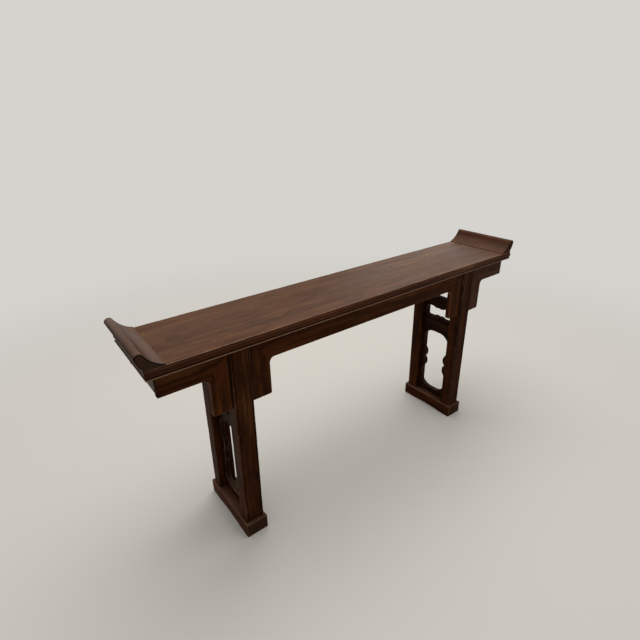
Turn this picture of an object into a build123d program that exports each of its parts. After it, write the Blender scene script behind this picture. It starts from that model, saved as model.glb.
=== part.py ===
from build123d import *
import os
from math import atan2, degrees, hypot, sqrt

# Chinese altar table with everted ends, on two panelled trestles.
# Millimetres. X runs along the table, Y across it with the front at -Y, Z up.
# The origin is on the floor under the middle of the table.

# ---------------------------------------------------------------- sizes
# Top
top_length = 1688.0          # over the necks of the ends, below the scrolls
top_depth = 299.0            # over the moulded front and back edges
top_height = 791.0           # floor to the flat of the top
top_thickness = 31.0
rail_width = 60.0            # front and back members of the frame
end_width = 64.0             # end members of the frame, from the neck to the seam
panel_thickness = 14.0
panel_tongue = 8.0           # tongue round the panel, how far it enters its groove
tongue_thickness = 8.0
# Moulded edge of the top, from below: bead, quirk, belly, upright fillet, arris
bead_radius = 2.5
quirk_depth = 3.5
quirk_height = 2.0
arris_set_in = 4.0           # the flat of the top stops this far inside the edge
edge_fillet = 5.5            # height of the upright fillet under the arris
# Everted flange at each end
flange_height = 52.5         # scroll above the flat of the top
flange_step = 2.5            # the flange starts this much above the flat
scroll_radius = 13.5
scroll_overhang = 15.0       # scroll beyond the neck
hollow_radius = 90.0         # concave sweep up to the scroll
neck_height = 9.0            # neck between the moulded edge and the scroll's foot
neck_slope = 2.5             # the moulded edge of an end stands this far inside the neck
scroll_foot = 5.0            # step under the scroll
# Corner joints of the top
corner_tenon_width = 26.0
corner_tenon_thickness = 10.0
corner_tenon_end_cover = 12.0
corner_tenon_set_in = 14.0
# Battens under the panel
batten_count = 5
batten_set_in = 90.0         # middle of the first batten inside the seam of the end piece
batten_width = 30.0
batten_depth = 22.0
batten_tenon = 12.0
batten_tenon_thickness = 8.0
dovetail_height = 5.0
dovetail_neck = 16.0
dovetail_flare = 2.0
# Trestles
foot_set_in = 278.5          # centre of a foot inside the end of the top
foot_length = 288.0
foot_width = 84.0
foot_height = 57.0
foot_pad = 60.0              # flat part at each end of a foot
foot_arch_rise = 7.0
foot_edge_radius = 4.0
leg_lean = 6.0               # each leg leans in by this much over its height
leg_width = 68.0
leg_depth = 50.0
leg_corner_radius = 3.0
leg_bead_width = 4.5
leg_groove_radius = 1.8
leg_hollow = 1.2             # depth of the scooped field on the face of a leg
leg_foot_tenon_width = 34.0
leg_foot_tenon_thickness = 26.0
leg_foot_tenon = 32.0
leg_top_tenon_width = 40.0
leg_top_tenon_thickness = 10.0
leg_top_tenon = 12.0
# Crossbars and panels of the trestles
crossbar_height = 34.0
crossbar_thickness = 30.0
crossbar_tenon = 20.0
crossbar_tenon_thickness = 12.0
upper_crossbar_drop = 168.0  # top of the upper crossbar below the frame of the top
crossbar_pitch = 125.0       # upper crossbar to middle crossbar
side_panel_thickness = 18.0
side_panel_housing = 7.0     # depth of the grooves that hold the panels
# Openings in the trestle panels
shortest_side = 2.0          # straight left between a shoulder and a rounded corner
lower_opening_sill = 30.0    # below the opening, above the foot
lower_opening_head = 25.0    # above the opening
lower_opening_width = 141.0
lower_corner_rounding = 50.0
lower_shoulder_radius = 60.0
lower_waist_width = 102.0
lower_nick_width = 126.0
lower_nick_pitch = 54.0
upper_opening_length = 146.0
upper_opening_margin = 19.5  # between the opening and each crossbar
upper_corner_rounding = 20.0
upper_shoulder_radius = 14.0
upper_waist_width = 40.0
upper_nick_width = 46.0
upper_nick_pitch = 26.0
# Aprons and spandrels
leg_reveal = 6.0             # the face of a leg stands this far before the apron
leg_set_in = 17.5            # the face of a leg behind the edge of the top
apron_height = 74.0
apron_thickness = 18.0
apron_set_in = 28.5          # ends of the long aprons inside the ends of the top
spandrel_drop = 133.0        # below the apron
spandrel_inner_width = 70.0  # beside the leg, towards the middle of the table
spandrel_outer_width = 71.0  # beside the leg, towards the end of the table
inner_corner_radius = 18.0
lower_corner_radius = 6.0
end_apron_thickness = 16.0
end_apron_recess = 3.0
end_apron_housing = 6.0
# Clearances
joint_gap = 0.2              # beside tenons, tongues and boards in their slots
end_gap = 1.0                # beyond the ends of tenons and tongues

# ---------------------------------------------------------------- places
half_length = top_length / 2
half_depth = top_depth / 2
rail_bottom = top_height - top_thickness
seam_x = half_length - end_width
edge_x = half_length - neck_slope
seam_y = half_depth - rail_width
panel_bottom = top_height - panel_thickness
foot_x = half_length - foot_set_in
leg_height = rail_bottom - foot_height
lean_angle = degrees(atan2(leg_lean, leg_height))
leg_top_x = foot_x - leg_lean
leg_front = half_depth - leg_set_in
leg_back = leg_front - leg_depth
leg_y = leg_front - leg_depth / 2
apron_front = leg_front - leg_reveal
apron_back = apron_front - apron_thickness
apron_middle = apron_front - apron_thickness / 2
apron_bottom = rail_bottom - apron_height
apron_end = half_length - apron_set_in
spandrel_bottom = apron_bottom - spandrel_drop
spandrel_inner_x = leg_top_x - leg_width / 2 - spandrel_inner_width
spandrel_outer_x = leg_top_x + leg_width / 2 + spandrel_outer_width
far = top_length             # reach of a cutting block past everything

# Frame of the right trestle: its origin is on the foot, and it leans inwards.
trestle = Pos(foot_x, 0, foot_height) * Rot(0, -lean_angle, 0)
upper_bar_bottom = leg_height - upper_crossbar_drop - crossbar_height
middle_bar_bottom = upper_bar_bottom - crossbar_pitch
middle_bar_top = middle_bar_bottom + crossbar_height


# ---------------------------------------------------------------- helpers
def block(x0, x1, y0, y1, z0, z1):
    """A block between two opposite corners."""
    middle = Pos((x0 + x1) / 2, (y0 + y1) / 2, (z0 + z1) / 2)
    return middle * Box(x1 - x0, y1 - y0, z1 - z0)


def board(outline, y0, y1):
    """An outline drawn in X and Z, made a board between y0 and y1."""
    return extrude(Plane.XZ.offset(-y1) * outline, y1 - y0)


def rectangle(x0, x1, z0, z1):
    """A rectangle between two opposite corners."""
    return Pos((x0 + x1) / 2, (z0 + z1) / 2) * Rectangle(x1 - x0, z1 - z0)


def corners_at(outline, points):
    """The corners of an outline that lie at the given points."""
    near = 0.01
    return [v for v in outline.vertices() for p in points if hypot(v.X - p[0], v.Y - p[1]) < near]


def mirrored_face(half):
    """A face from the right half of its outline, which starts and ends on the middle line."""
    return make_face(half + mirror(half, about=Plane.YZ))


def left_of(solid):
    """The same piece at the other end of the table."""
    return mirror(solid, about=Plane.YZ)


def behind(solid):
    """The same piece at the back of the table."""
    return mirror(solid, about=Plane.XZ)


# ---------------------------------------------------------------- top
def moulding(reach, set_in):
    """The moulded edge from the underside up: bead, quirk, belly and upright fillet."""
    bead_top = rail_bottom + 2 * bead_radius
    bead_x = reach - bead_radius
    quirk_top = bead_top + quirk_height
    face_x = reach - quirk_depth
    bead = ThreePointArc((bead_x, rail_bottom), (reach, rail_bottom + bead_radius), (bead_x, bead_top))
    quirk = Polyline((bead_x, bead_top), (face_x, bead_top), (face_x, quirk_top))
    belly_top = top_height - edge_fillet
    belly_end = (reach - set_in, belly_top)
    belly = ThreePointArc((face_x, quirk_top), (reach, (quirk_top + belly_top) / 2), belly_end)
    return bead + quirk + belly + Line(belly_end, (reach - set_in, top_height))


def edge_section():
    """Cross-section of the top in Y and Z, carried up past the flanges."""
    arris = half_depth - arris_set_in
    crown = top_height + 2 * flange_height
    start = Line((0, rail_bottom), (half_depth - bead_radius, rail_bottom))
    end = Polyline((arris, top_height), (arris, crown), (0, crown))
    return mirrored_face(start + moulding(half_depth, arris_set_in) + end)


def hollow_centre(seam, scroll):
    """Centre of the hollow: its circle passes the seam and touches the scroll from outside."""
    dx = scroll[0] - seam[0]
    dz = scroll[1] - seam[1]
    apart = hypot(dx, dz)
    reach = hollow_radius + scroll_radius
    along = (hollow_radius**2 - reach**2 + apart**2) / (2 * apart)
    across = sqrt(hollow_radius**2 - along**2)
    return (seam[0] + (along * dx - across * dz) / apart, seam[1] + (along * dz + across * dx) / apart)


def on_circle(centre, radius, through):
    """The point of a circle that lies towards another point."""
    dx = through[0] - centre[0]
    dz = through[1] - centre[1]
    size = hypot(dx, dz)
    return (centre[0] + radius * dx / size, centre[1] + radius * dz / size)


def end_section():
    """Side view of the top in X and Z, with the flanges that sweep up into scrolls."""
    seam = (seam_x, top_height + flange_step)
    scroll = (half_length + scroll_overhang - scroll_radius, top_height + flange_height - scroll_radius)
    hollow = hollow_centre(seam, scroll)
    touch = on_circle(scroll, scroll_radius, hollow)
    low = on_circle(hollow, hollow_radius, ((seam[0] + touch[0]) / 2, (seam[1] + touch[1]) / 2))
    crown = (scroll[0], scroll[1] + scroll_radius)
    tip = (half_length + scroll_overhang, scroll[1])
    neck_top = (half_length, top_height + neck_height)
    foot = (half_length + scroll_foot, neck_top[1] + scroll_foot / 2)
    start = Line((0, rail_bottom), (edge_x - bead_radius, rail_bottom))
    edge = moulding(edge_x, 0)
    neck = Polyline((edge_x, top_height), neck_top, foot)
    lip = Line(foot, tip)
    over = ThreePointArc(tip, crown, touch)
    sweep_in = ThreePointArc(touch, low, seam)
    flat = Polyline(seam, (seam_x, top_height), (0, top_height))
    return mirrored_face(start + edge + neck + lip + over + sweep_in + flat)


def top_form():
    """The whole outside of the top: the moulded section and the flanged side view together."""
    along = extrude(Plane.YZ * edge_section(), far, both=True)
    across = extrude(Plane.XZ * end_section(), far, both=True)
    return along & across


def rail_plan():
    """Plan of the front rail: its mitres run out through the corners of the top."""
    outer_y = far / 4
    outer_x = outer_y * (edge_x - seam_x) / rail_width
    near_edge = [(-seam_x, -seam_y), (seam_x, -seam_y)]
    far_edge = [(seam_x + outer_x, -seam_y - outer_y), (-seam_x - outer_x, -seam_y - outer_y)]
    return make_face(Polyline(*near_edge, *far_edge, close=True))


def corner_tenon(gap_side=0.0, gap_end=0.0):
    """Tenon of the front rail into the right end piece, or its mortise with gaps."""
    y1 = -seam_y - corner_tenon_set_in + gap_side
    y0 = y1 - corner_tenon_width - 2 * gap_side
    z0 = panel_bottom - corner_tenon_thickness - gap_side
    z1 = panel_bottom + gap_side
    x1 = half_length - corner_tenon_end_cover + gap_end
    return block(seam_x - corner_tenon_width, x1, y0, y1, z0, z1)


def panel_groove():
    """Room in the frame for the tongue round the panel."""
    x = seam_x + panel_tongue + end_gap
    y = seam_y + panel_tongue + end_gap
    return block(-x, x, -y, y, panel_bottom, panel_bottom + tongue_thickness + joint_gap)


def batten_places():
    """Places of the battens along the table."""
    first = batten_set_in - seam_x
    pitch = -2 * first / (batten_count - 1)
    return [first + i * pitch for i in range(batten_count)]


def batten_tenons(gap_side=0.0, gap_end=0.0):
    """Both end tenons of a batten at the middle of the table, or their mortises with gaps."""
    x = batten_width / 2 + gap_side
    y = seam_y + batten_tenon + gap_end
    z0 = rail_bottom + batten_tenon_thickness / 2
    return block(-x, x, -y, y, z0 - gap_side, z0 + batten_tenon_thickness + gap_side)


def dovetail(gap=0.0):
    """Dovetail key along a batten, or its socket across the panel."""
    half_neck = dovetail_neck / 2 + gap
    half_head = half_neck + dovetail_flare
    z1 = panel_bottom + dovetail_height
    points = [(-half_neck, panel_bottom), (half_neck, panel_bottom), (half_head, z1), (-half_head, z1)]
    return board(make_face(Polyline(*points, close=True)), -seam_y, seam_y)


def batten():
    """Batten under the panel: it keys into the panel and tenons into both rails."""
    x = batten_width / 2
    bar = block(-x, x, -seam_y, seam_y, panel_bottom - batten_depth, panel_bottom)
    return bar + batten_tenons() + dovetail()


def top_panel():
    """Floating panel of the top: tongued all round, with a socket for each batten."""
    x = seam_x + panel_tongue
    y = seam_y + panel_tongue
    field = block(-seam_x, seam_x, -seam_y, seam_y, panel_bottom, top_height)
    tongue = block(-x, x, -y, y, panel_bottom, panel_bottom + tongue_thickness)
    panel = field + tongue
    for place in batten_places():
        panel -= Pos(place, 0, 0) * dovetail(joint_gap)
    return panel


def leg_top_tenon_block(gap_side=0.0, gap_end=0.0):
    """Tenon on the top of the front right leg, or its mortise in the rail."""
    x0 = leg_top_x - leg_top_tenon_width / 2 - gap_side
    y1 = -(seam_y + apron_back - leg_top_tenon_thickness) / 2 + gap_side
    y0 = y1 - leg_top_tenon_thickness - 2 * gap_side
    z1 = rail_bottom + leg_top_tenon + gap_end
    root = rail_bottom - leg_top_tenon
    return block(x0, x0 + leg_top_tenon_width + 2 * gap_side, y0, y1, root, z1)


def top_rail(form):
    """Front rail of the top, mitred and tenoned at both ends."""
    rail = form & extrude(Pos(0, 0, rail_bottom) * rail_plan(), top_thickness)
    rail -= panel_groove()
    rail += corner_tenon() & block(0, far, -far, far, rail_bottom, top_height)
    rail += left_of(corner_tenon())
    for place in batten_places():
        rail -= Pos(place, 0, 0) * batten_tenons(joint_gap, end_gap)
    mortise = leg_top_tenon_block(joint_gap, end_gap)
    return rail - mortise - left_of(mortise)


def top_end(form):
    """Right end piece: the flange and its frame member in one, lapping over both rails."""
    plan = rail_plan()
    prism = extrude(Pos(0, 0, rail_bottom) * plan, top_thickness)
    end = form & block(seam_x, far, -half_depth, half_depth, rail_bottom, far)
    end -= prism
    end -= behind(prism)
    end -= panel_groove()
    mortise = corner_tenon(joint_gap, end_gap)
    return end - mortise - behind(mortise)


# ---------------------------------------------------------------- aprons and spandrels
def apron_outline():
    """Front view of the long apron with its four spandrel wings, as one outline."""
    outline = rectangle(-apron_end, apron_end, apron_bottom, rail_bottom)
    inner = []
    lower = []
    for side in (-1, 1):
        ends = sorted((side * spandrel_inner_x, side * spandrel_outer_x))
        outline += rectangle(*ends, spandrel_bottom, rail_bottom)
        inner += [(x, apron_bottom) for x in ends]
        lower += [(x, spandrel_bottom) for x in ends]
    outline = fillet(corners_at(outline, inner), inner_corner_radius)
    return fillet(corners_at(outline, lower), lower_corner_radius)


def mitre_wedge():
    """Front view of what belongs to the right spandrel: its mitres meet the apron's."""
    leg_edge = leg_width / 2
    run = 2 * inner_corner_radius
    left = (spandrel_inner_x, apron_bottom)
    right = (spandrel_outer_x, apron_bottom)
    low = (left[0] - run * spandrel_inner_width / apron_height, left[1] - run)
    high = (right[0] + run * spandrel_outer_width / apron_height, right[1] - run)
    base = spandrel_bottom - run
    crown = [(leg_top_x + leg_edge, rail_bottom), (leg_top_x - leg_edge, rail_bottom)]
    return make_face(Polyline(*crown, left, low, (low[0], base), (high[0], base), high, right, close=True))


def below_apron():
    """Front view of everything under the apron's straight lower edge, right of the middle."""
    return rectangle(0, far, spandrel_bottom - far, apron_bottom)


def end_apron_block(housing):
    """The right end apron with its ends let into the long aprons by this much."""
    x1 = apron_end - end_apron_recess
    y = apron_back + housing
    return block(x1 - end_apron_thickness, x1, -y, y, apron_bottom, rail_bottom)


def apron(outline):
    """Front apron: half lapped behind the mitred spandrels, housed for the end aprons."""
    wedge = mitre_wedge()
    face = outline - wedge - mirror(wedge, about=Plane.YZ)
    back = outline & rectangle(-apron_end, apron_end, apron_bottom, rail_bottom)
    piece = board(face, -apron_front, -apron_middle) + board(back, -apron_middle, -apron_back)
    housing = end_apron_block(end_apron_housing)
    return piece - housing - left_of(housing)


def spandrel(outline):
    """Front right spandrel: one upright board through the slot of the leg."""
    face = outline & mitre_wedge()
    back = outline & below_apron()
    return board(face, -apron_front, -apron_middle) + board(back, -apron_middle, -apron_back)


# ---------------------------------------------------------------- trestles
def leg_section():
    """Section of a leg: a bead down each edge of its face and a scooped field between."""
    face = -leg_depth / 2
    section = Rectangle(leg_width, leg_depth)
    section = fillet(section.vertices(), leg_corner_radius)
    groove_x = leg_width / 2 - leg_bead_width - leg_groove_radius
    for x in (-groove_x, groove_x):
        section -= Pos(x, face) * Circle(leg_groove_radius)
    scoop = (groove_x**2 + leg_hollow**2) / (2 * leg_hollow)
    return section - Pos(0, face + leg_hollow - scoop) * Circle(scoop)


def crossbar_tenon_block(bottom, gap_side=0.0, gap_end=0.0):
    """Both tenons of a crossbar in the trestle's own frame, or their mortises."""
    x = crossbar_tenon_thickness / 2 + gap_side
    y = leg_back + crossbar_tenon + gap_end
    shoulder = side_panel_housing + end_gap
    return block(-x, x, -y, y, bottom + shoulder - gap_side, bottom + crossbar_height - shoulder + gap_side)


def side_groove(z0, z1, gap):
    """Groove that holds a side panel, in the trestle's own frame."""
    x = side_panel_thickness / 2 + joint_gap
    y = leg_back + side_panel_housing + gap
    return block(-x, x, -y, y, z0, z1)


def leg():
    """Front right leg: slotted over the apron, tenoned into the rail and the foot."""
    blank = extrude(Pos(0, -leg_y, -foot_height) * leg_section(), top_height)
    piece = trestle * blank
    piece &= block(0, far, -far, far, foot_height, rail_bottom)
    slot_back = -apron_back + joint_gap
    piece -= block(0, far, -apron_front, slot_back, spandrel_bottom, far)
    groove_top = upper_bar_bottom + side_panel_housing + end_gap
    piece -= trestle * side_groove(-foot_height, groove_top, end_gap)
    for bottom in (upper_bar_bottom, middle_bar_bottom):
        piece -= trestle * crossbar_tenon_block(bottom, joint_gap, end_gap)
    return piece + leg_top_tenon_block() + leg_foot_tenon_block()


def leg_foot_tenon_block(gap_side=0.0, gap_end=0.0):
    """Tenon under the front right leg, or its mortise in the foot."""
    x = leg_foot_tenon_width / 2 + gap_side
    y = leg_foot_tenon_thickness / 2 + gap_side
    z0 = foot_height - leg_foot_tenon - gap_end
    return Pos(foot_x, -leg_y, 0) * block(-x, x, -y, y, z0, foot_height)


def foot():
    """Right foot: a sledge under both legs, arched below so that it stands on its ends."""
    y = foot_length / 2
    x = foot_width / 2
    piece = block(-x, x, -y, y, 0, foot_height)
    piece = fillet(piece.edges().group_by(Axis.Z)[-1], foot_edge_radius)
    half_arch = y - foot_pad
    arch_radius = (half_arch**2 + foot_arch_rise**2) / (2 * foot_arch_rise)
    arch = Plane.YZ * Pos(0, foot_arch_rise - arch_radius) * Circle(arch_radius)
    piece = Pos(foot_x, 0, 0) * (piece - extrude(arch, foot_width, both=True))
    piece -= trestle * side_groove(-side_panel_housing, foot_height, end_gap)
    mortise = leg_foot_tenon_block(joint_gap, end_gap)
    return piece - mortise - behind(mortise)


def crossbar(bottom, grooves):
    """Crossbar of the right trestle, tenoned into both legs and grooved for the panels."""
    x = crossbar_thickness / 2
    bar = block(-x, x, -leg_back, leg_back, bottom, bottom + crossbar_height)
    bar += crossbar_tenon_block(bottom)
    for z0, z1 in grooves:
        bar -= side_groove(z0, z1, end_gap)
    return trestle * bar


def opening(length, width, corner_radius, shoulder_radius, waist_width, nick_width, nick_pitch):
    """Outline of a cartouche opening, upright and centred.

    Each long side swells in to two rounded cusps with a nick between them. A cusp is an
    arc whose circle passes the tip of the nick and touches the waist. An opposite arc, the
    shoulder, touches that circle and the straight side, which ends in a rounded corner
    no larger than the side leaves room for.
    """
    half_pitch = nick_pitch / 2
    nick_depth = (nick_width - waist_width) / 2
    cusp_radius = (half_pitch**2 + nick_depth**2) / (2 * nick_depth)
    cusp = (waist_width / 2 + cusp_radius, half_pitch)
    reach = cusp_radius + shoulder_radius
    shoulder_x = width / 2 - shoulder_radius
    shoulder = (shoulder_x, half_pitch + sqrt(reach**2 - (cusp[0] - shoulder_x) ** 2))
    rounding = min(corner_radius, length / 2 - shoulder[1] - shortest_side)
    corner = (width / 2 - rounding, length / 2 - rounding)
    nick = (nick_width / 2, 0)
    waist = (waist_width / 2, half_pitch)
    leave = on_circle(cusp, cusp_radius, shoulder)
    side = [(width / 2, shoulder[1]), (width / 2, corner[1])]
    bend = on_circle(shoulder, shoulder_radius, ((leave[0] + side[0][0]) / 2, (leave[1] + side[0][1]) / 2))
    crown = (corner[0], length / 2)
    round_off = on_circle(corner, rounding, (width / 2, length / 2))
    quarter = ThreePointArc(nick, waist, leave) + ThreePointArc(leave, bend, side[0]) + Line(*side)
    quarter += ThreePointArc(side[1], round_off, crown) + Line(crown, (0, crown[1]))
    half = quarter + mirror(quarter, about=Plane.XZ)
    return make_face(half + mirror(half, about=Plane.YZ))


def side_panel(z0, z1, hole, z_hole):
    """Panel of the right trestle between z0 and z1, pierced by an opening."""
    x = side_panel_thickness / 2
    y = leg_back + side_panel_housing
    panel = block(-x, x, -y, y, z0, z1)
    pierce = Plane.YZ * Pos(0, z_hole) * hole
    return trestle * (panel - extrude(pierce, foot_width, both=True))


def lower_panel():
    """Tall panel between the foot and the middle crossbar."""
    length = middle_bar_bottom - lower_opening_sill - lower_opening_head
    hole = opening(
        length, lower_opening_width, lower_corner_rounding, lower_shoulder_radius,
        lower_waist_width, lower_nick_width, lower_nick_pitch,
    )
    top = middle_bar_bottom + side_panel_housing
    return side_panel(-side_panel_housing, top, hole, lower_opening_sill + length / 2)


def upper_panel():
    """Low panel between the two crossbars, with the opening lying on its side."""
    width = upper_bar_bottom - middle_bar_top - 2 * upper_opening_margin
    hole = opening(
        upper_opening_length, width, upper_corner_rounding, upper_shoulder_radius,
        upper_waist_width, upper_nick_width, upper_nick_pitch,
    )
    bottom = middle_bar_top - side_panel_housing
    top = upper_bar_bottom + side_panel_housing
    return side_panel(bottom, top, Rot(0, 0, 90) * hole, (middle_bar_top + upper_bar_bottom) / 2)


# ---------------------------------------------------------------- assembly
def pieces():
    """Every piece of the table by name."""
    form = top_form()
    rail = top_rail(form)
    end = top_end(form)
    yield "top_panel", top_panel()
    yield "top_rail_front", rail
    yield "top_rail_back", behind(rail)
    yield "top_end_right", end
    yield "top_end_left", left_of(end)
    for number, place in enumerate(batten_places(), 1):
        yield f"batten_{number}", Pos(place, 0, 0) * batten()
    outline = apron_outline()
    front_apron = apron(outline)
    front_spandrel = spandrel(outline)
    front_leg = leg()
    yield "apron_front", front_apron
    yield "apron_back", behind(front_apron)
    end_apron = end_apron_block(end_apron_housing)
    middle_floor = middle_bar_top - side_panel_housing
    middle_roof = middle_bar_bottom + side_panel_housing + end_gap
    upper_roof = upper_bar_bottom + side_panel_housing + end_gap
    trestle_pieces = {
        "end_apron": end_apron,
        "foot": foot(),
        "crossbar_upper": crossbar(upper_bar_bottom, [(-far, upper_roof)]),
        "crossbar_middle": crossbar(middle_bar_bottom, [(-far, middle_roof), (middle_floor, far)]),
        "panel_upper": upper_panel(),
        "panel_lower": lower_panel(),
    }
    for name, piece in trestle_pieces.items():
        yield f"{name}_right", piece
        yield f"{name}_left", left_of(piece)
    for name, piece in (("spandrel", front_spandrel), ("leg", front_leg)):
        yield f"{name}_front_right", piece
        yield f"{name}_front_left", left_of(piece)
        yield f"{name}_back_right", behind(piece)
        yield f"{name}_back_left", left_of(behind(piece))


os.makedirs("parts", exist_ok=True)
for name, piece in pieces():
    export_step(piece, f"parts/{name}.step")
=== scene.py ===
"""Altar table: the looks of the packed model.

Every visible board is a closed surface worked out with numpy: an outline carried through rings, with
softened and worn arrises. Metres throughout. X runs along the table, Y to its back and Z up.
"""

import math
from collections import namedtuple

import bmesh
import bpy
import numpy as np
from bpy.props import FloatProperty, FloatVectorProperty, PointerProperty
from mathutils import Matrix, Vector


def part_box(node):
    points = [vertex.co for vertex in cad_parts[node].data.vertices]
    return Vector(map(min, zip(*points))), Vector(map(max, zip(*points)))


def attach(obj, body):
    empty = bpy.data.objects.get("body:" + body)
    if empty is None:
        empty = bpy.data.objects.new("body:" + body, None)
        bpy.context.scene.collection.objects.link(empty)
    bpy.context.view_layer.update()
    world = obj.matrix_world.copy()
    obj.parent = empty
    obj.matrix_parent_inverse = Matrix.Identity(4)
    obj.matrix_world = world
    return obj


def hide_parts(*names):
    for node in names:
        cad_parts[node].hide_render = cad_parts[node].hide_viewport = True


bl_info = {
    "name": "Altar table",
    "version": (1, 0, 0),
    "blender": (4, 5, 0),
    "location": "3D View > Sidebar > Altar table",
    "description": "Worn lacquered boards, moulded top, slotted legs and pierced trestle panels",
    "category": "Object",
}

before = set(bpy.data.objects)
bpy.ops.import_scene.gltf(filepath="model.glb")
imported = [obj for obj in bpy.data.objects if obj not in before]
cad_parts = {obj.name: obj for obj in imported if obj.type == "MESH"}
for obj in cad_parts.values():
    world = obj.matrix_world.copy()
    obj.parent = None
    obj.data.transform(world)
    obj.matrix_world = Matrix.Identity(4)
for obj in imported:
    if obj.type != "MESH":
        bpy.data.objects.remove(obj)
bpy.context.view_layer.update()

# ---------------------------------------------------------------- places, from the frame
rail_low, rail_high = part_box("top_rail_front")
end_low, end_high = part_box("top_end_right")
apron_low, apron_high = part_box("apron_front")
end_apron_low, end_apron_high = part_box("end_apron_right")
spandrel_low, spandrel_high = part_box("spandrel_front_right")
leg_low, leg_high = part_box("leg_front_right")
foot_low, foot_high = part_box("foot_right")

half_length = rail_high.x
half_depth = -rail_low.y
seam_x = end_low.x
seam_y = -rail_high.y
top_z = rail_high.z
rail_z = rail_low.z
foot_x = (foot_low.x + foot_high.x) / 2
foot_z = foot_high.z
leg_width = 2 * (leg_high.x - foot_x)
leg_lean = foot_x - leg_width / 2 - leg_low.x
leg_top_x = foot_x - leg_lean
leg_y = (leg_low.y + leg_high.y) / 2
leg_depth = leg_high.y - leg_low.y
apron_middle = (apron_low.y + apron_high.y) / 2
apron_z = end_apron_low.z
sides = (("left", -1), ("right", 1))
faces = (("front", 1), ("back", -1))
# each post: its name, 1 in front and -1 at the back, and the end it is made at before it is turned round
posts = [(f"{face}_{end}", front, right * front) for face, front in faces for end, right in sides]


# ---------------------------------------------------------------- sizes and colours
def length(label, words, value):
    """A length that the user may change."""
    return FloatProperty(
        name=label, description=words, default=value, min=0, precision=4, unit="LENGTH", subtype="DISTANCE"
    )


def share(label, words, value):
    """A share from 0 to 1 that the user may change."""
    return FloatProperty(name=label, description=words, default=value, min=0, max=1, subtype="FACTOR")


def colour(label, words, value):
    """A colour that the user may change."""
    return FloatVectorProperty(
        name=label, description=words, default=value, min=0, max=1, size=3, subtype="COLOR"
    )


def angle(label, words, degrees):
    """An angle that the user may change."""
    return FloatProperty(
        name=label, description=words, default=math.radians(degrees), subtype="ANGLE", unit="ROTATION"
    )


class AltarTopSizes(bpy.types.PropertyGroup):
    """Sizes of the framed top and its flanges."""

    bead_radius: length("Bead radius", "Radius of the bead along the lower edge", 0.0025)
    quirk_depth: length("Quirk depth", "How far the quirk above the bead cuts in", 0.0035)
    quirk_height: length("Quirk height", "Height of the quirk above the bead", 0.002)
    arris_set_in: length("Arris set in", "How far the flat of the top stops inside the edge", 0.004)
    edge_fillet: length("Edge fillet", "Height of the upright fillet under the arris", 0.0055)
    flange_step: length("Flange step", "How far an end stands above the panel at their seam", 0.0025)
    scroll_radius: length("Scroll radius", "Radius of the roll along each flange", 0.0135)
    hollow_radius: length("Hollow radius", "Radius of the sweep up to the scroll", 0.090)
    neck_height: length("Neck height", "Upright neck under the scroll", 0.009)
    neck_slope: length("Neck slope", "How far the moulding of an end stands inside its neck", 0.0025)
    scroll_foot: length("Scroll foot", "Step under the scroll", 0.005)
    seam: length("Seam", "Half the width of an open seam", 0.0001)
    seam_arris: length("Seam arris", "Softening of the arrises along the seams", 0.0002)


class AltarBoardSizes(bpy.types.PropertyGroup):
    """Sizes of the aprons, spandrels, legs and trestles."""

    arris: length("Arris", "Radius of a worn arris", 0.0014)
    joint: length("Joint", "Width of a joint line", 0.0004)
    inner_corner: length("Inner corner", "Radius between apron and spandrel", 0.018)
    lower_corner: length("Lower corner", "Radius of the spandrels' lower corners", 0.006)
    leg_corner: length("Leg corner", "Radius of the corners of a leg", 0.003)
    leg_bead: length("Leg bead", "Width of the bead down each edge of a leg", 0.0045)
    leg_groove: length("Leg groove", "Radius of the groove beside the bead", 0.0018)
    leg_hollow: length("Leg hollow", "Depth of the scooped field of a leg", 0.0012)
    foot_arch: length("Foot arch", "Rise of the arch under a foot", 0.007)
    foot_pad: length("Foot pad", "Flat part at each end of a foot", 0.060)
    foot_arris: length("Foot arris", "Radius of the worn upper arrises of a foot", 0.004)
    bar_height: length("Crossbar height", "Height of a crossbar", 0.034)
    bar_thickness: length("Crossbar thickness", "Thickness of a crossbar", 0.030)


class AltarOpeningSizes(bpy.types.PropertyGroup):
    """Sizes of the openings in the trestle panels."""

    panel_thickness: length("Panel thickness", "Thickness of a trestle panel", 0.018)
    lower_sill: length("Lower sill", "Panel left below the lower opening", 0.030)
    lower_head: length("Lower head", "Panel left above the lower opening", 0.025)
    lower_width: length("Lower width", "Width of the lower opening", 0.141)
    lower_corner: length("Lower corner", "Rounding of the lower opening", 0.050)
    lower_shoulder: length("Lower shoulder", "Radius of the shoulders of the lower opening", 0.060)
    lower_waist: length("Lower waist", "Width of the lower opening between its cusps", 0.102)
    lower_nick: length("Lower nick", "Width of the lower opening between its nicks", 0.126)
    lower_pitch: length("Lower pitch", "Distance between the cusps of the lower opening", 0.054)
    upper_length: length("Upper length", "Length of the upper opening", 0.146)
    upper_margin: length("Upper margin", "Panel left above and below the upper opening", 0.0195)
    upper_corner: length("Upper corner", "Rounding of the upper opening", 0.020)
    upper_shoulder: length("Upper shoulder", "Radius of the shoulders of the upper opening", 0.014)
    upper_waist: length("Upper waist", "Height of the upper opening between its cusps", 0.040)
    upper_nick: length("Upper nick", "Height of the upper opening between its nicks", 0.046)
    upper_pitch: length("Upper pitch", "Distance between the cusps of the upper opening", 0.026)


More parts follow.
